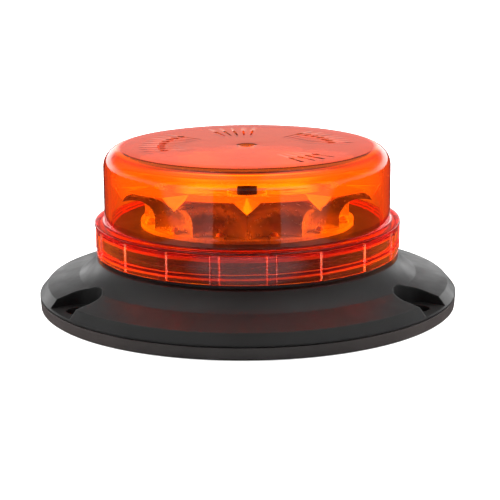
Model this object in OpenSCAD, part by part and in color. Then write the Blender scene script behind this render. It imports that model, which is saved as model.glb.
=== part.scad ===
// Low-profile amber LED warning beacon with a three-bolt base and a screw-on lens.
// Millimetres. The origin is the centre of the gasket's underside, +Z points up,
// and -Y is the front, midway between two of the three bolt channels.

/* [Base] */
// Radius of the base's rim
base_r = 73; // [72.5:0.1:74]
// Height of the flat floor in each bolt channel
channel_floor_z = 5.5; // [5:0.1:6]
// Width of each bolt channel
channel_w = 15.5; // [14:0.1:17]
// Diameter of the circle through the three bolt holes
bolt_pcd = 130; // [129:0.5:131]
// Diameter of each bolt hole
bolt_hole_d = 9; // [8.4:0.1:10]
// Radius of the threaded neck that the lens screws onto
neck_r = 50; // [49.8:0.05:50.1]

/* [Lens] */
// Height of the dome's flat top above the mounting surface
top_z = 55.6; // [54:0.1:58]
// Outer radius of the dome
dome_r = 49.9; // [49.8:0.05:50.2]
// Wall thickness of the dome
lens_wall = 2.4; // [2.2:0.05:2.5]
// Radius of the rounded edge round the dome's top
shoulder_r = 6.5; // [5:0.1:8]
// Outer radius of the grip collar
collar_r = 53.4; // [53.3:0.05:54]
// Number of grip ribs round the collar
rib_count = 18; // [12:1:24]
// Rise of the lens thread in one turn
thread_pitch = 4; // [3.8:0.1:4.2]

/* [Optics] */
// Number of reflector cups, each with one LED
cup_count = 12; // [12:1:12]
// Radius of each cup seen from above
cup_r = 15; // [14.6:0.1:15.2]
// Height of the reflector's flat rim above the mounting surface
rim_top_z = 45.2; // [45:0.1:46]

/* [Hidden] */
$fn = 96;
eps = 0.01;

// Base: the outline from the rim up to the neck
under_z = 2;                    // the base's underside, on top of the gasket's floor
rim_z = 4.6;                    // bottom of the overhanging rim
chamfer_r = 70.2;               // outer edge of the sloping shoulder
chamfer_z = 8.4;
crease_r = 59.1;                // where the shoulder meets the flared skirt
crease_z = 11.3;
shelf_r = 53;                   // top edge of the flared skirt
shelf_z = 17.2;
flare_r = 16;                   // radius of the skirt's hollow curve
seat_z = 26;                    // ledge that the lens seal sits on
deck_r = 46.9;                  // raised deck inside the lens
deck_z = 29;
bay_r = 45;                     // electronics bay, open below
bay_top_z = 26.5;
cup_wall_r = 39.5;              // pocket that holds the heat sink
pocket_r = 37.5;
shelf_in_r = 28;
shelf_low_z = 23;
heat_sink_z = 25;
bolt_angles = [-30, -150, 90];  // directions of the bolt channels

// Gasket
gasket_floor = 2;
gasket_in_r = 52;
lip_in_r = 70.3;
lip_top_z = 4.3;

// Lens and thread
collar_low_z = 19;
collar_top_z = 30.1;
flange_low_z = 27.6;
panel_depth = 0.5;              // how far the panels between the ribs are set back
rib_r = collar_r - 0.05;        // outer radius of the ribs, just inside the collar's lip
rib_low_z = collar_low_z + 0.2;
panel_top_z = 28.7;
rib_angle = 4.3;
thread_bore_r = 51.9;
thread_front_z = 19.5;          // centre of the neck's ridge at the front, on its first turn
thread_depth = 1.3;
ridge_root = 1.9;
ridge_crest = 1;
thread_step = 6;
seal_w = 2.4;

// Optics
board_z = 30.3;                 // top of the LED board
board_r = 37.2;
board_t = 1.6;
pad_t = 0.5;
cup_centre_r = 46.4;
cup_mid_z = 33.5;
cup_arc_r = 11.3;
rim_r = 47;
rim_in_r = 37.2;
plate_r = 31;
plate_z = 38.6;
plate_t = 2;
hub_r = 7;
hub_z = 39.6;
notch_z = 41;
notch_half_w = 4.9;
notch_slope = 25;
led_r = 34.2;

// Electronics
driver_z = 12;                  // underside of the driver board
driver_t = 1.6;
driver_r = 44;
boss_r = 41.2;
boss_angles = [30, 150, 270];
cover_r = 51.7;
cover_screw_r = 48.6;
cover_angles = [15, 105, 195, 285];
link_y = 20.5;
sink_screw_r = 32.8;
sink_angles = [90, 210, 330];
vent_x = -29;

// Copies the children at each angle round the Z axis, pushed out to the radius r
module around(angles, r = 0) {
    for (a = angles) {
        rotate([0, 0, a]) {
            translate([r, 0, 0]) children();
        }
    }
}

// A flat ring between two radii
module ring(r_in, r_out, z, h) {
    translate([0, 0, z]) {
        difference() {
            cylinder(r = r_out, h = h);
            translate([0, 0, -1]) cylinder(r = r_in, h = h + 2);
        }
    }
}

// A block centred on X and Y, standing on the height z
module block(x, y, z, size) {
    translate([x - size[0] / 2, y - size[1] / 2, z]) cube(size);
}

// A pan-head screw with its head's bearing face at z; turn = 1 points the shank down
module screw(head_r, head_h, shank_r, shank_l, z, turn = 1) {
    translate([0, 0, z]) {
        rotate([turn > 0 ? 0 : 180, 0, 0]) {
            difference() {
                union() {
                    cylinder(r = head_r, h = head_h);
                    translate([0, 0, -shank_l]) cylinder(r = shank_r, h = shank_l + eps);
                }
                translate([0, 0, head_h - 1]) cylinder(r = head_r * 0.42, h = 2, $fn = 6);
            }
        }
    }
}

// Corner points of one thread ridge, swept up a right-hand helix between two angles.
// root_r lies inside the wall that carries the ridge.
function ridge_section(root_r, crest_r, z) = [
    [root_r, z - ridge_root / 2],
    [crest_r, z - ridge_crest / 2],
    [crest_r, z + ridge_crest / 2],
    [root_r, z + ridge_root / 2]];

module thread_ridge(root_r, crest_r, start_z, start_a, turns) {
    steps = round(turns * 360 / thread_step);
    points = [for (i = [0:steps])
        let (a = start_a + i * thread_step)
        let (z = start_z + thread_pitch * i * thread_step / 360)
        for (p = ridge_section(root_r, crest_r, z))
            [p[0] * cos(a), p[0] * sin(a), p[1]]];
    flip = crest_r > root_r;
    sides = [for (i = [0:steps - 1]) for (j = [0:3])
        let (k = (j + 1) % 4)
        [4 * i + j, 4 * i + k, 4 * i + 4 + k, 4 * i + 4 + j]];
    ends = [[3, 2, 1, 0], [for (j = [0:3]) 4 * steps + j]];
    faces = concat(sides, ends);
    polyhedron(points, flip ? faces : [for (f = faces) [for (i = [len(f) - 1:-1:0]) f[i]]]);
}

// Half outline of the base: rim, steep chamfer, shoulder, hollow skirt, neck and deck
module base_outline() {
    chord = [crease_r - shelf_r, crease_z - shelf_z];
    half = norm(chord) / 2;
    rise = sqrt(flare_r * flare_r - half * half);
    side = [-chord[1], chord[0]] / norm(chord);
    flare_c = [(crease_r + shelf_r) / 2, (crease_z + shelf_z) / 2] + side * rise;
    difference() {
        polygon([[0, under_z], [chamfer_r, under_z], [chamfer_r, rim_z], [base_r, rim_z],
            [base_r, rim_z + 0.5], [chamfer_r, chamfer_z], [crease_r, crease_z],
            [shelf_r, shelf_z], [neck_r, shelf_z], [neck_r, seat_z], [deck_r, seat_z],
            [deck_r, deck_z], [0, deck_z]]);
        intersection() {
            translate(flare_c) circle(r = flare_r, $fn = 180);
            translate([shelf_r, crease_z]) square([crease_r - shelf_r, shelf_z - crease_z]);
        }
    }
}

// Slot for one bolt's head, open outwards through the rim
module bolt_channel() {
    translate([bolt_pcd / 2, 0, channel_floor_z]) cylinder(d = channel_w, h = 20);
    translate([bolt_pcd / 2, -channel_w / 2, channel_floor_z]) cube([20, channel_w, 20]);
    translate([bolt_pcd / 2, 0, 0]) cylinder(d = bolt_hole_d, h = 20);
}

module base() {
    color("#1b1b1c") {
        difference() {
            rotate_extrude($fn = 180) base_outline();
            around(bolt_angles) bolt_channel();
            // electronics bay with the bottom cover's recess
            translate([0, 0, under_z - 1]) cylinder(r = cover_r + 0.2, h = rim_z - under_z + 1);
            difference() {
                translate([0, 0, under_z]) cylinder(r = bay_r, h = bay_top_z - under_z);
                translate([0, 0, shelf_low_z]) cylinder(r = cup_wall_r, h = 10);
                around(boss_angles, boss_r) {
                    translate([0, 0, driver_z + driver_t]) cylinder(r = 3.2, h = 20, $fn = 48);
                }
            }
            translate([0, 0, heat_sink_z]) cylinder(r = pocket_r, h = 10);
            translate([0, 0, shelf_low_z - 1]) cylinder(r = shelf_in_r, h = 10);
            // screw holes
            around(boss_angles, boss_r) {
                translate([0, 0, driver_z]) cylinder(r = 1.6, h = 9, $fn = 32);
            }
            around(cover_angles, cover_screw_r) cylinder(r = 1.6, h = 12, $fn = 32);
            around(sink_angles, sink_screw_r) {
                translate([0, 0, shelf_low_z - 1]) cylinder(r = 1.7, h = 4, $fn = 32);
            }
        }
        thread_ridge(neck_r - 0.5, neck_r + thread_depth, thread_front_z - 1, 180, 1.5);
    }
}

// Rubber pad under the base, with a lip that wraps the rim
module base_gasket() {
    color("#33302e") {
        difference() {
            rotate_extrude($fn = 180) {
                polygon([[gasket_in_r, 0], [base_r - 1, 0], [base_r - 0.3, 0.5],
                    [base_r, lip_top_z], [lip_in_r, lip_top_z], [lip_in_r, gasket_floor],
                    [gasket_in_r, gasket_floor]]);
            }
            around(bolt_angles, bolt_pcd / 2) {
                translate([0, 0, -1]) cylinder(d = bolt_hole_d, h = 5);
            }
        }
    }
}

// Half outline of the lens: a flat-topped dome and the collar round its foot
module lens_outline() {
    corner = [dome_r - shoulder_r, top_z - shoulder_r];
    panel_r = collar_r - panel_depth;
    difference() {
        union() {
            translate([0, collar_low_z]) square([dome_r, corner[1] - collar_low_z]);
            translate([0, collar_low_z]) square([corner[0], top_z - collar_low_z]);
            translate(corner) circle(r = shoulder_r);
            translate([0, collar_low_z]) square([panel_r, collar_top_z - collar_low_z - 1]);
            polygon([[0, panel_top_z], [panel_r, panel_top_z], [collar_r, panel_top_z + 0.3],
                [collar_r, collar_top_z - 0.4], [collar_r - 0.4, collar_top_z],
                [0, collar_top_z]]);
        }
        translate([0, collar_low_z - 1]) square([dome_r - lens_wall, corner[1] - collar_low_z + 1]);
        translate([0, collar_low_z]) square([corner[0], top_z - lens_wall - collar_low_z]);
        translate(corner) circle(r = shoulder_r - lens_wall);
        translate([0, collar_low_z - 1]) square([thread_bore_r, flange_low_z - collar_low_z + 1]);
    }
}

module lens() {
    color("#ff6a00", 0.55) {
        rotate_extrude($fn = 180) lens_outline();
        for (i = [0:rib_count - 1]) {
            rotate([0, 0, i * 360 / rib_count - 90 - rib_angle / 2 + 8.5]) {
                rotate_extrude(angle = rib_angle, $fn = 180) {
                    translate([rib_r - 1, rib_low_z]) square([1, panel_top_z - rib_low_z + 0.5]);
                }
            }
        }
        thread_ridge(thread_bore_r + 0.5, neck_r + 0.5, thread_front_z + 1, 180, 1);
    }
}

// Flat silicone ring between the neck's ledge and the lens's flange
module lens_seal() {
    color("#b5402a") ring(neck_r - 0.3 - seal_w, neck_r - 0.3, seat_z, flange_low_z - seat_z);
}

// One cup: a cylinder below its middle, curving in to a flat roof above it
module cup_hollow() {
    flat = cup_r - cup_arc_r;
    translate([cup_centre_r, 0, cup_mid_z]) {
        rotate_extrude() {
            intersection() {
                union() {
                    translate([0, -5]) square([cup_r, 5]);
                    translate([flat, 0]) circle(r = cup_arc_r);
                    square([flat, cup_arc_r]);
                }
                translate([0, -5]) square([cup_r + 1, cup_arc_r + 5]);
            }
        }
    }
}

// V-shaped notch in the rim between two cups, running out to nothing inwards
module rim_notch() {
    depth = rim_top_z - notch_z;
    wide = notch_half_w * 3;
    translate([rim_r, 0, notch_z]) {
        rotate([0, notch_slope, 0]) {
            rotate([90, 0, -90]) {
                linear_extrude(height = 40, center = true) {
                    polygon([[0, 0], [wide, depth * 3], [-wide, depth * 3]]);
                }
            }
        }
    }
}

module reflector() {
    pitch = 360 / cup_count;
    color("#c9b8a0") {
        difference() {
            union() {
                rotate_extrude($fn = 180) {
                    polygon([[28.6, board_z], [rim_r, board_z], [rim_r, rim_top_z],
                        [rim_in_r, rim_top_z], [plate_r, plate_z], [0, plate_z],
                        [0, plate_z - plate_t], [28.6, plate_z - plate_t]]);
                }
                translate([0, 0, board_z]) cylinder(r = hub_r, h = hub_z - board_z);
            }
            for (i = [0:cup_count - 1]) {
                rotate([0, 0, i * pitch - 90]) rim_notch();
                rotate([0, 0, (i + 0.5) * pitch - 90]) cup_hollow();
            }
            translate([0, 0, board_z - 1]) cylinder(r = 2.3, h = 12, $fn = 32);
        }
    }
}

module reflector_screw() {
    color("#101011") screw(3.5, 2.4, 2, 17, hub_z);
}

module led_board() {
    color("#e9e4d6") {
        difference() {
            translate([0, 0, board_z - board_t]) cylinder(r = board_r, h = board_t);
            translate([0, 0, board_z - 3]) cylinder(r = 2.3, h = 5, $fn = 32);
        }
    }
}

// Twelve surface-mount LEDs, one under each cup
module leds() {
    pitch = 360 / cup_count;
    color("#f2c53d") {
        for (i = [0:cup_count - 1]) {
            rotate([0, 0, (i + 0.5) * pitch - 90]) {
                block(led_r, 0, board_z, [3.4, 3.4, 0.8]);
                intersection() {
                    translate([led_r, 0, board_z + 0.7]) sphere(r = 1.4, $fn = 32);
                    block(led_r, 0, board_z + 0.5, [4, 4, 2]);
                }
            }
        }
    }
}

module thermal_pad() {
    color("#7d8a93") {
        difference() {
            translate([0, 0, board_z - board_t - pad_t]) cylinder(r = board_r - 0.5, h = pad_t);
            translate([0, 0, board_z - 4]) cylinder(r = 2.3, h = 5, $fn = 32);
            block(0, link_y, heat_sink_z, [13, 6, 10]);
        }
    }
}

module heat_sink() {
    top = board_z - board_t - pad_t;
    color("#b9bcc0") {
        difference() {
            union() {
                translate([0, 0, heat_sink_z]) cylinder(r = board_r, h = top - heat_sink_z);
                for (i = [-3:3]) {
                    block(0, i * 4, 17.5, [40, 1.8, heat_sink_z - 17.5 + eps]);
                }
                translate([0, 0, 18.5]) cylinder(r = 4.5, h = 8, $fn = 48);
            }
            translate([0, 0, 18]) cylinder(r = 2.1, h = 20, $fn = 32);
            block(0, link_y, 20, [13, 6, 20]);
            around(sink_angles, sink_screw_r) {
                translate([0, 0, heat_sink_z - 1]) cylinder(r = 1.6, h = 3, $fn = 32);
            }
        }
    }
}

module heat_sink_screws() {
    color("#8f9297") around(sink_angles, sink_screw_r) screw(2.8, 1.8, 1.5, 3.8, shelf_low_z, -1);
}

// Pin header that joins the two boards through the heat sink's slot
module board_link() {
    color("#26282b") {
        block(0, link_y, driver_z + driver_t, [11, 4, board_z - board_t - driver_z - driver_t]);
    }
}

module driver_board() {
    color("#1f6b3a") {
        difference() {
            translate([0, 0, driver_z]) cylinder(r = driver_r, h = driver_t);
            around(boss_angles, boss_r) {
                translate([0, 0, driver_z - 1]) cylinder(r = 1.7, h = 5, $fn = 32);
            }
        }
    }
}

module board_screws() {
    color("#8f9297") around(boss_angles, boss_r) screw(2.4, 1.8, 1.5, 8, driver_z, -1);
}

module power_inductor() {
    color("#3a3b3d") {
        intersection() {
            block(-19, 12, driver_z - 5, [11, 11, 5]);
            translate([-19, 12, driver_z - 5]) cylinder(r = 6.9, h = 5);
        }
    }
}

module capacitors() {
    color("#aeb1b5") {
        for (p = [[18, 16], [28, 4], [20, -9]]) {
            translate([p[0], p[1], driver_z - 6.6]) cylinder(r = 4, h = 5.6, $fn = 48);
            block(p[0], p[1], driver_z - 1, [8.4, 8.4, 1]);
        }
    }
}

module driver_chips() {
    color("#222325") {
        block(-2, 22, driver_z - 1.5, [6, 5, 1.5]);
        block(-24, -6, driver_z - 1.5, [5, 6, 1.5]);
        block(4, -26, driver_z - 1.8, [10, 4.5, 1.8]);
    }
}

// Chip resistors and capacitors on the upper face of the driver board
module chip_parts() {
    color("#c9a36a") {
        around([for (i = [0:9]) 200 + i * 14], 34) block(0, 0, driver_z + driver_t, [1.6, 3.2, 0.7]);
    }
}

module wire_header() {
    color("#e6e2d8") {
        difference() {
            block(-14, -22, driver_z - 6, [13, 6, 6]);
            block(-14, -22, driver_z - 7, [11, 4, 5]);
        }
    }
}

module bottom_cover() {
    color("#202021") {
        difference() {
            translate([0, 0, under_z]) cylinder(r = cover_r, h = rim_z - under_z, $fn = 180);
            ring(bay_r + 0.5, bay_r + 2.1, rim_z - 1, 2);
            cylinder(r = 7, h = 8);
            translate([vent_x, 0, 0]) cylinder(r = 4, h = 8, $fn = 48);
            around(cover_angles, cover_screw_r) {
                cylinder(r = 1.7, h = 8, $fn = 32);
                cylinder(r = 2.9, h = under_z + 1.2, $fn = 48);
            }
        }
    }
}

module cover_seal() {
    color("#5a5f66") ring(bay_r + 0.7, bay_r + 1.9, rim_z - 1, 1);
}

module cover_screws() {
    color("#8f9297") {
        around(cover_angles, cover_screw_r) screw(2.7, 1.1, 1.5, 8, under_z + 1.2, -1);
    }
}

// Rubber bush that holds the lead's jacket where it leaves the bottom cover
module cable_grommet() {
    color("#2a2a2b") {
        difference() {
            union() {
                translate([0, 0, under_z - 1.4]) cylinder(r = 10, h = 1.4);
                translate([0, 0, under_z]) cylinder(r = 6.9, h = rim_z - under_z);
                translate([0, 0, rim_z]) cylinder(r1 = 9, r2 = 5, h = 4);
            }
            cylinder(r = 3, h = 12, $fn = 48);
        }
    }
}

// Breather that lets the housing's air pressure even out
module vent_plug() {
    color("#3c3f43") {
        translate([vent_x, 0, 0]) {
            difference() {
                union() {
                    translate([0, 0, under_z - 1.4]) cylinder(r = 6, h = 1.4);
                    translate([0, 0, under_z]) cylinder(r = 3.9, h = rim_z - under_z + 1.2, $fn = 48);
                }
                translate([0, 0, under_z + 1]) cylinder(r = 2.4, h = 8, $fn = 48);
            }
        }
    }
}

base();
base_gasket();
lens();
lens_seal();
reflector();
reflector_screw();
led_board();
leds();
thermal_pad();
heat_sink();
heat_sink_screws();
board_link();
driver_board();
board_screws();
power_inductor();
capacitors();
driver_chips();
chip_parts();
wire_header();
bottom_cover();
cover_seal();
cover_screws();
cable_grommet();
vent_plug();
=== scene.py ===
import math

import bpy
from mathutils import Matrix, Vector


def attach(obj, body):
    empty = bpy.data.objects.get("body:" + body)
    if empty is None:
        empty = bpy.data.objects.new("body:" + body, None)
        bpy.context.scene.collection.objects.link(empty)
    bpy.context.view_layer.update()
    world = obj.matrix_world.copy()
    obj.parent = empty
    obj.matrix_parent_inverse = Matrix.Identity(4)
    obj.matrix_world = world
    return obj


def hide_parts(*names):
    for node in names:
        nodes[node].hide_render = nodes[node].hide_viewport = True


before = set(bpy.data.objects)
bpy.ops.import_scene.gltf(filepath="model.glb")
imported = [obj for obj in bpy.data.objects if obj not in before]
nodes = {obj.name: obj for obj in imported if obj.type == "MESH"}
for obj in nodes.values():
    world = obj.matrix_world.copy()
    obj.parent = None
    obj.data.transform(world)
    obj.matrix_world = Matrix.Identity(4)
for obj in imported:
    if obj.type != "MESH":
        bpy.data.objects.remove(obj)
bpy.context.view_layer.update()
MM = 0.001


# ---------------------------------------------------------------- material helpers
def material(name):
    """A new material with its node tree emptied, its Principled shader and its output."""
    mat = bpy.data.materials.new(name)
    mat.use_nodes = True
    tree = mat.node_tree
    tree.nodes.clear()
    out = tree.nodes.new("ShaderNodeOutputMaterial")
    shader = tree.nodes.new("ShaderNodeBsdfPrincipled")
    tree.links.new(shader.outputs[0], out.inputs["Surface"])
    return mat, tree, shader, out


def add(tree, kind, links=(), **values):
    """Adds a node; values with a socket's name set that socket, the others set a property."""
    made = tree.nodes.new(kind)
    for key, value in values.items():
        socket = key.replace("_", " ")
        if socket in made.inputs:
            made.inputs[socket].default_value = value
        else:
            setattr(made, key, value)
    for socket, source in links:
        tree.links.new(source, made.inputs[socket])
    return made


def noise(tree, place, scale, detail=3.0, rough=0.55):
    made = add(tree, "ShaderNodeTexNoise", [("Vector", place)])
    made.inputs["Scale"].default_value = scale
    made.inputs["Detail"].default_value = detail
    made.inputs["Roughness"].default_value = rough
    return made.outputs["Fac"]


def ramp(tree, source, stops):
    made = tree.nodes.new("ShaderNodeValToRGB")
    tree.links.new(source, made.inputs["Fac"])
    band = made.color_ramp
    while len(band.elements) < len(stops):
        band.elements.new(0.5)
    for element, (at, colour) in zip(band.elements, stops):
        element.position = at
        element.color = (*colour, 1.0) if len(colour) == 3 else colour
    return made.outputs["Color"]


def spread(tree, source, low, high, at_low=0.3, at_high=0.7):
    """Maps a noise value to the range low to high."""
    made = tree.nodes.new("ShaderNodeMapRange")
    tree.links.new(source, made.inputs["Value"])
    made.inputs["From Min"].default_value = at_low
    made.inputs["From Max"].default_value = at_high
    made.inputs["To Min"].default_value = low
    made.inputs["To Max"].default_value = high
    return made.outputs["Result"]


def combined(tree, operation, one, other):
    made = add(tree, "ShaderNodeMath", operation=operation)
    tree.links.new(one, made.inputs[0])
    tree.links.new(other, made.inputs[1])
    return made.outputs[0]


def product(tree, one, other):
    return combined(tree, "MULTIPLY", one, other)


def blend(tree, share, one, other, kind="RGBA"):
    """Mixes two colours or two numbers; each is either a socket or a plain value."""
    made = add(tree, "ShaderNodeMix", data_type=kind)
    tree.links.new(share, made.inputs[0])
    first, result = (6, 2) if kind == "RGBA" else (2, 0)
    for place, value in ((first, one), (first + 1, other)):
        if isinstance(value, bpy.types.NodeSocket):
            tree.links.new(value, made.inputs[place])
        else:
            made.inputs[place].default_value = (*value, 1.0) if kind == "RGBA" else value
    return made.outputs[result]


def size_of(tree, value):
    """The value without its sign."""
    made = add(tree, "ShaderNodeMath", operation="ABSOLUTE")
    tree.links.new(value, made.inputs[0])
    return made.outputs[0]


def bumped(tree, shader, height, depth, edge=0.0):
    """Bump of a depth in metres, over edges rounded by a radius in metres."""
    bump = add(tree, "ShaderNodeBump", [("Height", height)])
    bump.inputs["Distance"].default_value = depth
    bump.inputs["Strength"].default_value = 1.0
    if edge:
        rounded = add(tree, "ShaderNodeBevel", samples=6)
        rounded.inputs["Radius"].default_value = edge
        tree.links.new(rounded.outputs["Normal"], bump.inputs["Normal"])
    tree.links.new(bump.outputs["Normal"], shader.inputs["Normal"])


def moulded(name, colour, rough, grain=4500.0, depth=1.5e-5, edge=0.0003, vary=0.2, metal=0.0):
    """Moulded plastic, rubber or finished metal: mottled colour, uneven gloss, fine grain and soft edges."""
    mat, tree, shader, _ = material(name)
    place = add(tree, "ShaderNodeTexCoord").outputs["Object"]
    mottle = noise(tree, place, 60.0, 4.0)
    fine = noise(tree, place, grain, 2.0)
    dark = tuple(c * (1 - vary) for c in colour)
    light = tuple(min(1.0, c * (1 + vary)) for c in colour)
    tree.links.new(ramp(tree, mottle, [(0.3, dark), (0.7, light)]), shader.inputs["Base Color"])
    tree.links.new(spread(tree, noise(tree, place, 140.0, 5.0), rough - 0.05, rough + 0.06),
                   shader.inputs["Roughness"])
    shader.inputs["Metallic"].default_value = metal
    bumped(tree, shader, fine, depth, edge)
    return mat


def give(node_name, mat):
    """Puts one material on every slot of a CAD node."""
    mesh = nodes[node_name].data
    mesh.materials.clear()
    mesh.materials.append(mat)


# ---------------------------------------------------------------- materials
COLLAR_FADE = (0.0290, 0.0303)          # heights in metres where the collar ends and the dome begins
THREAD_TOP = (0.0268, 0.0271)           # top of the lens's own thread
THREAD_REACH = (0.0520, 0.0523)         # radius in metres that only the inside of the collar is within
BEND_LOW = (0.0546, 0.0550)             # heights in metres where the shoulder turns into the flat top


def painted_highlight_masks(tree, place, collar, height):
    """Masks for the painted highlights on the ribs' edges, the thread's flanks and the bend at the top, from
    position and slope.
    """
    normal = add(tree, "ShaderNodeTexCoord").outputs["Normal"]
    across = add(tree, "ShaderNodeVectorMath", operation="CROSS_PRODUCT")
    tree.links.new(normal, across.inputs[0])
    tree.links.new(place, across.inputs[1])
    turned = add(tree, "ShaderNodeSeparateXYZ", [("Vector", across.outputs[0])]).outputs["Z"]
    # painted highlight on the rib edges
    rib_edge_highlight = product(tree, spread(tree, size_of(tree, turned), 0.0, 1.0, 0.012, 0.028), collar)
    flat = add(tree, "ShaderNodeVectorMath", operation="MULTIPLY")
    tree.links.new(place, flat.inputs[0])
    flat.inputs[1].default_value = (1.0, 1.0, 0.0)
    reach = add(tree, "ShaderNodeVectorMath", operation="LENGTH")
    tree.links.new(flat.outputs[0], reach.inputs[0])
    steep = size_of(tree, add(tree, "ShaderNodeSeparateXYZ", [("Vector", normal)]).outputs["Z"])
    inner = product(tree, spread(tree, reach.outputs["Value"], 1.0, 0.0, *THREAD_REACH),
                    spread(tree, height, 1.0, 0.0, *THREAD_TOP))
    # painted highlight on the thread's flanks
    thread = product(tree, inner, spread(tree, steep, 0.0, 1.0, 0.30, 0.60))
    slope = product(tree, spread(tree, steep, 1.0, 0.0, 0.975, 0.995),
                    spread(tree, steep, 0.0, 1.0, 0.86, 0.94))
    # painted highlight band on the dome's top bend
    bend = product(tree, slope, spread(tree, height, 0.0, 1.0, *BEND_LOW))
    return rib_edge_highlight, thread, bend


def amber_lens(name, density, rough):
    """Clear amber plastic: colour comes from the depth that light crosses.

    The collar is slightly red-stained and hazy. Its rib edges, its thread's flanks and the dome's top bend
    are made
    hazier still and paler: painted highlights that stand in for the glints and bright streaks there.
    """
    mat, tree, shader, out = material(name)
    place = add(tree, "ShaderNodeTexCoord").outputs["Object"]
    shader.inputs["Transmission Weight"].default_value = 1.0
    shader.inputs["IOR"].default_value = 1.5
    shader.inputs["Roughness"].default_value = rough
    bumped(tree, shader, noise(tree, place, 55.0, 2.0), 3.0e-5)
    height = add(tree, "ShaderNodeSeparateXYZ", [("Vector", place)]).outputs["Z"]
    collar = spread(tree, height, 1.0, 0.0, *COLLAR_FADE)
    rib_edge_highlight, thread, bend = painted_highlight_masks(tree, place, collar, height)
    stain = blend(tree, collar, (1.0, 1.0, 1.0), (1.0, 0.62, 0.38))
    tree.links.new(stain, shader.inputs["Base Color"])
    haze_and_highlight_tint = blend(tree, collar, (1.0, 0.16, 0.008), (1.0, 0.10, 0.06))
    # painted highlight: pale pink on the rib edges in place of their bright refracted streaks
    haze_and_highlight_tint = blend(tree, rib_edge_highlight, haze_and_highlight_tint, (1.0, 0.38, 0.32))
    # painted highlight: pale yellow on the thread's flanks in place of glints along the ridge
    haze_and_highlight_tint = blend(tree, thread, haze_and_highlight_tint, (1.0, 0.95, 0.20))
    glow = add(tree, "ShaderNodeBsdfDiffuse", [("Color", haze_and_highlight_tint)])
    through = add(tree, "ShaderNodeBsdfTranslucent", [("Color", haze_and_highlight_tint)])
    haze_and_highlight = add(tree, "ShaderNodeMixShader")
    haze_and_highlight.inputs[0].default_value = 0.5
    tree.links.new(glow.outputs[0], haze_and_highlight.inputs[1])
    tree.links.new(through.outputs[0], haze_and_highlight.inputs[2])
    # shares of painted highlight on the rib edges and thread flanks
    highlight_lines = combined(tree, "MAXIMUM", spread(tree, rib_edge_highlight, 0.0, 0.21, 0.0, 1.0),
                     spread(tree, thread, 0.0, 0.65, 0.0, 1.0))
    # the collar's real scattering, plus a painted highlight band on the dome's top bend
    plain = combined(tree, "ADD", spread(tree, collar, 0.004, 0.030, 0.0, 1.0),
                     spread(tree, bend, 0.0, 0.16, 0.0, 1.0))
    body = add(tree, "ShaderNodeMixShader")
    tree.links.new(combined(tree, "MAXIMUM", plain, highlight_lines), body.inputs[0])
    tree.links.new(shader.outputs[0], body.inputs[1])
    tree.links.new(haze_and_highlight.outputs[0], body.inputs[2])
    shade = blend(tree, collar, (1.0, 1.0, 1.0), (1.0, 0.45, 0.04))
    clear = add(tree, "ShaderNodeBsdfTransparent", [("Color", shade)])
    path = add(tree, "ShaderNodeLightPath")
    pick = add(tree, "ShaderNodeMixShader")
    tree.links.new(path.outputs["Is Shadow Ray"], pick.inputs[0])
    tree.links.new(body.outputs[0], pick.inputs[1])
    tree.links.new(clear.outputs[0], pick.inputs[2])
    tree.links.new(pick.outputs[0], out.inputs["Surface"])
    volume = add(tree, "ShaderNodeVolumeAbsorption", Color=(0.999, 0.90, 0.0, 1.0), Density=density)
    tree.links.new(volume.outputs[0], out.inputs["Volume"])
    return mat


RIM_HEIGHT = (0.0402, 0.0406)           # heights in metres between the reflector's hub and its rim


def mirror_plastic(name):
    """Vacuum-metallised plastic: bright in the cups, satin on the rim and its notches, smooth on the hub."""
    mat, tree, shader, _ = material(name)
    coords = add(tree, "ShaderNodeTexCoord")
    place = coords.outputs["Object"]
    up = add(tree, "ShaderNodeSeparateXYZ", [("Vector", coords.outputs["Normal"])]).outputs["Z"]
    height = add(tree, "ShaderNodeSeparateXYZ", [("Vector", place)]).outputs["Z"]
    satin = product(tree, spread(tree, up, 0.0, 1.0, 0.40, 0.48), spread(tree, height, 0.0, 1.0, *RIM_HEIGHT))
    hub = product(tree, spread(tree, up, 0.0, 1.0, 0.80, 0.95), spread(tree, height, 1.0, 0.0, *RIM_HEIGHT))
    metal = blend(tree, hub, spread(tree, satin, 0.65, 0.90, 0.0, 1.0), 1.0, "FLOAT")
    tree.links.new(metal, shader.inputs["Metallic"])
    film = ramp(tree, noise(tree, place, 90.0, 3.0), [(0.3, (0.90, 0.88, 0.84)), (0.7, (0.95, 0.94, 0.91))])
    tree.links.new(film, shader.inputs["Base Color"])
    gloss = blend(tree, satin, spread(tree, noise(tree, place, 500.0, 3.0), 0.16, 0.30), 0.26, "FLOAT")
    tree.links.new(blend(tree, hub, gloss, 0.10, "FLOAT"), shader.inputs["Roughness"])
    bumped(tree, shader, noise(tree, place, 420.0, 2.0), 1.2e-4, 0.0003)
    return mat


def board(name, mask, track, pad, size):
    """Circuit board: solder mask over faint tracks, with tinned pads."""
    mat, tree, shader, _ = material(name)
    place = add(tree, "ShaderNodeTexCoord").outputs["Object"]
    grid = add(tree, "ShaderNodeTexBrick", [("Vector", place)], offset=0.5)
    grid.inputs["Scale"].default_value = size
    grid.inputs["Mortar Size"].default_value = 0.012
    grid.inputs["Color1"].default_value = (*mask, 1.0)
    grid.inputs["Color2"].default_value = (*[c * 0.94 for c in mask], 1.0)
    grid.inputs["Mortar"].default_value = (*track, 1.0)
    dots = add(tree, "ShaderNodeTexVoronoi", [("Vector", place)])
    dots.inputs["Scale"].default_value = size * 1.7
    spot = add(tree, "ShaderNodeMath", operation="LESS_THAN")
    tree.links.new(dots.outputs["Distance"], spot.inputs[0])
    spot.inputs[1].default_value = 0.12
    tree.links.new(blend(tree, spot.outputs[0], grid.outputs["Color"], pad), shader.inputs["Base Color"])
    tree.links.new(spread(tree, noise(tree, place, 800.0), 0.25, 0.4), shader.inputs["Roughness"])
    bumped(tree, shader, grid.outputs["Fac"], 3.0e-5)
    return mat


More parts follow.
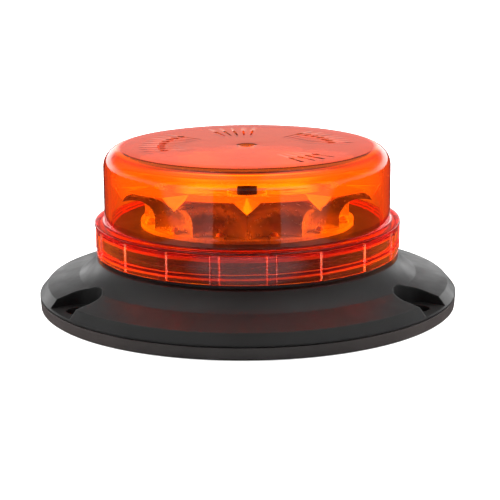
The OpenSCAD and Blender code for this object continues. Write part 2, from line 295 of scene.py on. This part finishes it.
def led_package(name, step_z):
    """White ceramic below a yellow phosphor dome."""
    mat, tree, shader, _ = material(name)
    place = add(tree, "ShaderNodeTexCoord").outputs["Object"]
    height = add(tree, "ShaderNodeSeparateXYZ", [("Vector", place)]).outputs["Z"]
    above = add(tree, "ShaderNodeMath", operation="GREATER_THAN")
    tree.links.new(height, above.inputs[0])
    above.inputs[1].default_value = step_z
    phosphor = ramp(tree, noise(tree, place, 2600.0), [(0.3, (0.85, 0.52, 0.06)), (0.7, (0.95, 0.66, 0.12))])
    tree.links.new(blend(tree, above.outputs[0], (0.78, 0.76, 0.70), phosphor), shader.inputs["Base Color"])
    shader.inputs["Roughness"].default_value = 0.3
    shader.inputs["Coat Weight"].default_value = 0.6
    return mat


black_plastic = moulded("black_plastic", (0.004, 0.004, 0.004), 0.35, 3800.0, 2.4e-5, 0.0005, 0.12)
looks = {
    "base": black_plastic,
    "base_gasket": moulded("gasket_rubber", (0.014, 0.011, 0.0105), 0.55, 2600.0, 3.0e-5, 0.0004, 0.15),
    "lens_seal": moulded("seal_silicone", (0.36, 0.02, 0.01), 0.42, 2200.0, 1.5e-5, 0.0003, 0.1),
    "reflector": mirror_plastic("metallised"),
    "reflector_screw": moulded("black_steel", (0.006, 0.006, 0.007), 0.6, 3000.0, 1.0e-5, 0.0002, 0.2),
    "led_board": board("white_board", (0.80, 0.78, 0.72), (0.62, 0.60, 0.55), (0.75, 0.62, 0.35), 260.0),
    "leds": led_package("led_phosphor", 0.03115),
    "thermal_pad": moulded("thermal_sheet", (0.30, 0.36, 0.42), 0.7, 1800.0, 4.0e-5, 0.0),
    "heat_sink": moulded("bare_aluminium", (0.62, 0.63, 0.65), 0.36, 2200.0, 3.0e-5, 0.0003, 0.08, 1.0),
    "heat_sink_screws": moulded("zinc_steel", (0.56, 0.57, 0.58), 0.28, 2400.0, 1.0e-5, 0.0001, 0.1, 1.0),
    "board_link": moulded("header_plastic", (0.02, 0.02, 0.022), 0.42, 2600.0),
    "driver_board": board("green_board", (0.02, 0.16, 0.055), (0.04, 0.24, 0.09), (0.66, 0.66, 0.62), 180.0),
    "board_screws": moulded("zinc_steel_small", (0.56, 0.57, 0.58), 0.28, 2400.0, 1.0e-5, 0.0001, 0.1, 1.0),
    "power_inductor": moulded("ferrite", (0.055, 0.055, 0.06), 0.66, 1500.0, 4.0e-5),
    "capacitors": moulded("capacitor_can", (0.60, 0.61, 0.63), 0.3, 2000.0, 1.0e-5, 0.0003, 0.06, 1.0),
    "driver_chips": moulded("chip_epoxy", (0.02, 0.02, 0.021), 0.55, 3000.0, 2.5e-5),
    "chip_parts": moulded("chip_ceramic", (0.45, 0.33, 0.2), 0.45, 2400.0, 1.0e-5, 0.0001),
    "wire_header": moulded("nylon_white", (0.74, 0.71, 0.62), 0.45, 2400.0),
    "bottom_cover": moulded("cover_plastic", (0.022, 0.022, 0.023), 0.48, 2600.0, 3.5e-5, 0.0003),
    "cover_seal": moulded("seal_grey", (0.13, 0.15, 0.17), 0.7, 2000.0, 4.0e-5),
    "cover_screws": moulded("zinc_steel_cover", (0.56, 0.57, 0.58), 0.28, 2400.0, 1.0e-5, 0.0001, 0.1, 1.0),
    "cable_grommet": moulded("grommet_rubber", (0.022, 0.021, 0.02), 0.6, 2200.0, 3.0e-5),
    "vent_plug": moulded("vent_plastic", (0.06, 0.065, 0.07), 0.5, 2400.0, 2.0e-5),
    "lens": amber_lens("amber_lens", 4000.0, 0.012),
}
for name, mat in looks.items():
    give(name, mat)


# ---------------------------------------------------------------- lens and neck thread
def smooth_step(x):
    x = min(1.0, max(0.0, x))
    return x * x * (3 - 2 * x)


def arc(centre_r, centre_z, radius, start, end, steps):
    """Points on an arc in the radius-height plane, in degrees from the outward direction."""
    turn = [math.radians(start + (end - start) * i / steps) for i in range(steps + 1)]
    return [(centre_r + radius * math.cos(t), centre_z + radius * math.sin(t)) for t in turn]


RIBS = [-90 + 8.5 + 20 * i for i in range(18)]
RIB_HALF, RIB_EASE = 1.7, 0.5
BARS = [142 + 7 * i for i in range(9)] + [86 + 6.5 * i for i in range(5)]
BARS += [8 + 7 * i for i in range(7)] + [-60 + 7 * i for i in range(4)]
BAR_HALF, BAR_EASE, BAR_LIFT = 0.9, 0.3, 0.22


def between(a, b):
    """Smallest angle between two directions, in degrees."""
    return abs((a - b + 180) % 360 - 180)


def lens_angles():
    marks = set()
    for centre in RIBS:
        for off in (0.0, 0.6, 1.1, 1.45, 1.52, 1.59, 1.66, 1.74, 1.81, 1.88, 1.95, 2.3, 3.0):
            marks.update({round((centre + off) % 360, 3), round((centre - off) % 360, 3)})
    for centre in BARS:
        for off in (0.0, BAR_HALF - BAR_EASE, BAR_HALF):
            marks.update({round((centre + off) % 360, 3), round((centre - off) % 360, 3)})
    marks.update(float(a) for a in range(0, 360, 2))
    kept = []
    for angle in sorted(marks):
        if not kept or angle - kept[-1] > 0.05:
            kept.append(angle)
    return kept


RIDGE_LOW, RIDGE_HIGH, RIDGE_DEPTH = 20.5, 24.5, 1.4


def helix_z(angle):
    """Height in mm of the lens's own thread ridge at an angle, and how much of its depth it has there."""
    along = ((angle + 180) % 360) / 360
    fade = smooth_step(min(along, 1 - along) * 360 / 9)
    low, high = RIDGE_LOW, RIDGE_HIGH
    if along > 0.975:
        return high - (high - low) * smooth_step((along - 0.975) / 0.025) * 0.5, 0.0
    if along < 0.025:
        return low + (high - low) * (1 - smooth_step(along / 0.025)) * 0.5, 0.0
    return low + (high - low) * along, fade


def lens_section(angle):
    """The lens's closed outline at one angle, in mm: up the outside, over the top and down the inside."""
    rib = max(smooth_step((RIB_HALF + RIB_EASE / 2 - between(angle, c)) / RIB_EASE) for c in RIBS)
    side = 52.75 + 0.6 * rib
    points = [(51.9, 19.1), (52.0, 19.0), (52.8, 19.0), (52.9, 19.1), (52.9, 19.2)]
    points += [(side - 0.12 * rib, 19.25), (side, 19.4), (side, 22.0), (side, 25.0), (side, 28.4)]
    points += [(side + 0.02, 28.62), (max(side, 53.1), 28.8), (53.32, 28.92), (53.4, 29.1), (53.4, 29.6)]
    points += [(53.32, 29.88), (53.15, 30.05), (52.9, 30.1), (51.5, 30.1), (50.7, 30.1)]
    points += arc(50.6, 30.8, 0.7, -90, -180, 5)[1:]
    points += [(49.9, z) for z in (33, 36, 39, 42, 45, 47.5)]
    points += arc(43.4, 49.1, 6.5, 0, 90, 22)
    bar = max(smooth_step((BAR_HALF - between(angle, c)) / BAR_EASE) for c in BARS)
    top = 55.6
    for r, lift in ((38, 0), (31.3, 0), (31.0, 1), (28.6, 1), (28.3, 0), (20, 0), (10, 0), (4, 0)):
        points.append((r, top + BAR_LIFT * lift * bar))
    points += [(2.6, 55.58), (2.2, 55.4), (1.7, 55.3), (1.1, 55.32), (0.7, 55.5), (0.4, 55.52)]
    outer = len(points)
    points += [(0.4, 53.2), (6, 53.2), (15, 53.2), (28, 53.2), (38, 53.2)]
    points += arc(43.4, 49.1, 4.1, 90, 0, 16)
    points += [(47.5, z) for z in (46, 42, 38, 34, 31, 28.6)]
    points += [(47.52, 27.85), (47.65, 27.65), (47.9, 27.6), (50.0, 27.6)]
    points += [(51.4, 27.6), (51.75, 27.5), (51.9, 27.25)]
    ridge, deep = helix_z(angle)
    points += [(51.9, 27.2 + (ridge + 1.2 - 27.2) * k / 4) for k in range(1, 4)]
    upper = [(1.15, 0.0), (0.95, 0.04), (0.6, 0.9), (0.42, 1.0)]
    for off, share in upper + [(-off, share) for off, share in reversed(upper)]:
        points.append((51.9 - RIDGE_DEPTH * share * deep, ridge + off))
    points += [(51.9, ridge - 1.2 + (19.3 - ridge + 1.2) * k / 3) for k in range(1, 4)]
    return points, outer


def solid_of_revolution(name, angles, sections, open_centre):
    """A closed mesh through one section per angle; the centre's two rings are capped."""
    rows = len(sections[0])
    points, faces = [], []
    for angle, section in zip(angles, sections):
        c, s = math.cos(math.radians(angle)), math.sin(math.radians(angle))
        points += [(r * c * MM, r * s * MM, z * MM) for r, z in section]
    count = len(angles)
    for i in range(count):
        a, b = i * rows, ((i + 1) % count) * rows
        for j in range(rows):
            k = (j + 1) % rows
            if j != open_centre:
                faces.append((a + j, b + j, b + k, a + k))
    faces.append(tuple(i * rows + open_centre for i in range(count)))
    faces.append(tuple(i * rows + open_centre + 1 for i in reversed(range(count))))
    mesh = bpy.data.meshes.new(name)
    mesh.from_pydata(points, [], faces)
    mesh.validate()
    mesh.shade_smooth()
    mesh.set_sharp_from_angle(angle=math.radians(38))
    made = bpy.data.objects.new(name, mesh)
    bpy.context.scene.collection.objects.link(made)
    return made


def lens_shell():
    angles = lens_angles()
    sections = [lens_section(a) for a in angles]
    made = solid_of_revolution("lens_shell", angles, [s[0] for s in sections], sections[0][1] - 1)
    made.data.materials.append(looks["lens"])
    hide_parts("lens")
    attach(made, "lens")


NECK_R = 49.9


def neck_thread():
    """The neck's rounded ridge: one and a half turns of 4 mm pitch, fading out at both ends."""
    lower = [(NECK_R, -1.02), (50.9, -0.72), (51.2, -0.6), (51.32, -0.45)]
    profile = lower + [(51.34, 0.0)] + [(r, -z) for r, z in reversed(lower)]
    steps = 360
    points, faces = [], []
    for i in range(steps + 1):
        angle = math.radians(180 + 540 * i / steps)
        height = 18.5 + 6.0 * i / steps
        grow = smooth_step(min(i, steps - i) / 5)
        for r, z in profile:
            wide = NECK_R + (r - NECK_R) * grow
            points.append((wide * math.cos(angle) * MM, wide * math.sin(angle) * MM, (height + z) * MM))
    rows = len(profile)
    for i in range(steps):
        for j in range(rows - 1):
            a = i * rows + j
            faces.append((a, a + rows, a + rows + 1, a + 1))
        faces.append((i * rows + rows - 1, (i + 1) * rows + rows - 1, (i + 1) * rows, i * rows))
    faces.append(tuple(range(rows)))
    faces.append(tuple(steps * rows + j for j in reversed(range(rows))))
    mesh = bpy.data.meshes.new("neck_thread")
    mesh.from_pydata(points, [], faces)
    mesh.shade_smooth()
    mesh.materials.append(black_plastic)
    made = bpy.data.objects.new("neck_thread", mesh)
    bpy.context.scene.collection.objects.link(made)
    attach(made, "housing")


lens_shell()
neck_thread()


# ---------------------------------------------------------------- floor, light and camera
def by_ray(tree, out, seen, mirrored, passed, scattered):
    """Sends camera, mirrored, refracted and scattered rays to shaders of their own, as masking cards do."""
    path = add(tree, "ShaderNodeLightPath")
    last = scattered
    for ray, shader in (("Is Glossy Ray", mirrored), ("Is Transmission Ray", passed),
                        ("Is Camera Ray", seen)):
        pick = add(tree, "ShaderNodeMixShader")
        tree.links.new(path.outputs[ray], pick.inputs[0])
        tree.links.new(last, pick.inputs[1])
        tree.links.new(shader, pick.inputs[2])
        last = pick.outputs[0]
    tree.links.new(last, out.inputs["Surface"])


def floor(seen, mirrored, passed):
    """Pale paper. What mirrored and refracted rays see of it changes from the front to the back."""
    mesh = bpy.data.meshes.new("floor")
    far = 6.0
    mesh.from_pydata([(-far, -far, 0), (far, -far, 0), (far, far, 0), (-far, far, 0)], [], [(0, 1, 2, 3)])
    made = bpy.data.objects.new("floor", mesh)
    bpy.context.scene.collection.objects.link(made)
    mat, tree, shader, out = material("floor_paper")
    place = add(tree, "ShaderNodeTexCoord").outputs["Object"]
    paper = ramp(tree, noise(tree, place, 3.0), [(0.3, (0.84, 0.84, 0.84)), (0.7, (0.86, 0.86, 0.86))])
    tree.links.new(paper, shader.inputs["Base Color"])
    shader.inputs["Roughness"].default_value = 0.8
    split = add(tree, "ShaderNodeSeparateXYZ", [("Vector", place)])
    depth = split.outputs["Y"]
    across = size_of(tree, split.outputs["X"])

    def lit(low, high, near=-0.12, far=-0.02, ends=1.0):
        made = add(tree, "ShaderNodeEmission")
        level = product(tree, spread(tree, depth, low, high, near, far),
                        spread(tree, across, 1.0, ends, 0.09, 0.12))
        tree.links.new(level, made.inputs["Strength"])
        return made.outputs[0]

    soft = add(tree, "ShaderNodeMixShader")
    soft.inputs[0].default_value = 0.6
    tree.links.new(shader.outputs[0], soft.inputs[1])
    tree.links.new(lit(seen, seen), soft.inputs[2])
    by_ray(tree, out, soft.outputs[0], lit(*mirrored), lit(*passed), shader.outputs[0])
    mesh.materials.append(mat)


def softbox(name, place, target, wide, high, power):
    """A lamp that lights surfaces but isn't seen in reflections or through the lens."""
    lamp = bpy.data.lights.new(name, "AREA")
    lamp.shape = "RECTANGLE"
    lamp.size, lamp.size_y = wide, high
    lamp.energy = power
    made = bpy.data.objects.new(name, lamp)
    bpy.context.scene.collection.objects.link(made)
    made.location = place
    aim = Vector(target) - Vector(place)
    made.rotation_mode = "QUATERNION"
    made.rotation_quaternion = aim.to_track_quat("-Z", "Y")
    made.visible_glossy = False
    made.visible_transmission = False


def studio(seen, mirrored, passed, scattered, sides):
    """A soft studio, brighter behind the object than towards the camera, with an overhead panel.

    Each kind of ray has its own front and back strength, strength by height, and dimming in the middle
    and at the ends.
    """
    world = bpy.data.worlds.new("studio")
    bpy.context.scene.world = world
    world.use_nodes = True
    tree = world.node_tree
    tree.nodes.clear()
    out = tree.nodes.new("ShaderNodeOutputWorld")
    way = add(tree, "ShaderNodeTexCoord").outputs["Generated"]
    split = add(tree, "ShaderNodeSeparateXYZ", [("Vector", way)])
    side = size_of(tree, split.outputs["X"])

    def lit(front, back, heights, middle=1.0, ends=1.0):
        across = product(tree, spread(tree, side, middle, 1.0, 0.09, 0.18),
                         spread(tree, side, 1.0, ends, 0.70, 0.85))
        deep = product(tree, spread(tree, split.outputs["Y"], front, back, -0.35, 0.55), across)
        low = ramp(tree, split.outputs["Z"], [(at, (level,) * 3) for at, level in heights])
        strength = product(tree, deep, low)
        glow = add(tree, "ShaderNodeBackground", [("Strength", strength)], Color=(1.0, 1.0, 1.0, 1.0))
        return glow.outputs[0]

    panel = product(tree, spread(tree, side, 0.0, sides, 0.45, 0.60),
                    spread(tree, split.outputs["Z"], 1.0, 0.0, 0.55, 0.75))
    bright = add(tree, "ShaderNodeBackground", [("Strength", panel)], Color=(1.0, 1.0, 1.0, 1.0))
    through = add(tree, "ShaderNodeAddShader")
    tree.links.new(lit(*passed), through.inputs[0])
    tree.links.new(bright.outputs[0], through.inputs[1])
    by_ray(tree, out, lit(*seen), lit(*mirrored), through.outputs[0], lit(*scattered))


def flag(name, spots):
    """A black studio card that keeps glare off the dome's front. Only mirrored and refracted rays see it."""
    mesh = bpy.data.meshes.new(name)
    mesh.from_pydata(spots, [], [tuple(range(len(spots)))])
    made = bpy.data.objects.new(name, mesh)
    bpy.context.scene.collection.objects.link(made)
    made.visible_camera = False
    made.visible_diffuse = False
    made.visible_shadow = False
    mesh.materials.append(moulded("flag_cloth", (0.012, 0.012, 0.012), 0.9, 900.0, 1.0e-4, 0.0))


floor(0.97, (1.0, 0.06, -0.135, -0.112, 0.60), (0.16, 1.1))
studio(seen=(0.97, 0.97, [(0.0, 1.0), (1.0, 1.0)]),
       mirrored=(1.5, 2.7, [(0.09, 0.78), (0.150, 0.68), (0.167, 0.62), (0.235, 0.14), (0.33, 0.04),
                            (0.75, 0.09), (0.97, 0.42)], 0.24, 0.45),
       passed=(0.16, 1.1, [(0.25, 1.0), (0.66, 0.5), (0.86, 5.2)]),
       scattered=(0.8, 1.8, [(0.25, 1.0), (0.62, 0.7), (0.84, 2.4)]),
       sides=1.0)
flag("front_flag", [(-0.075, -0.175, 0.001), (0.075, -0.175, 0.001),
                    (0.75, -1.6, 0.001), (-0.75, -1.6, 0.001)])
softbox("left_box", (-0.80, 0.24, 0.40), (0, 0, 0.03), 0.8, 0.8, 60.0)
softbox("right_box", (0.80, 0.24, 0.40), (0, 0, 0.03), 0.8, 0.8, 60.0)

bpy.context.scene.view_settings.view_transform = "Standard"
camera = bpy.data.objects.new("camera", bpy.data.cameras.new("camera"))
bpy.context.scene.collection.objects.link(camera)
camera.location = (0.000856, -0.56738, 0.15553)
camera.rotation_mode = "QUATERNION"
pitch = Matrix.Rotation(math.radians(90 - 13.61), 4, "X")
roll = Matrix.Rotation(math.radians(-0.423), 4, "Z")
camera.rotation_quaternion = (pitch @ roll).to_quaternion()
camera.data.lens = 119.304
camera.data.sensor_width = 36.0
camera.data.clip_start = 0.01
bpy.context.scene.camera = camera
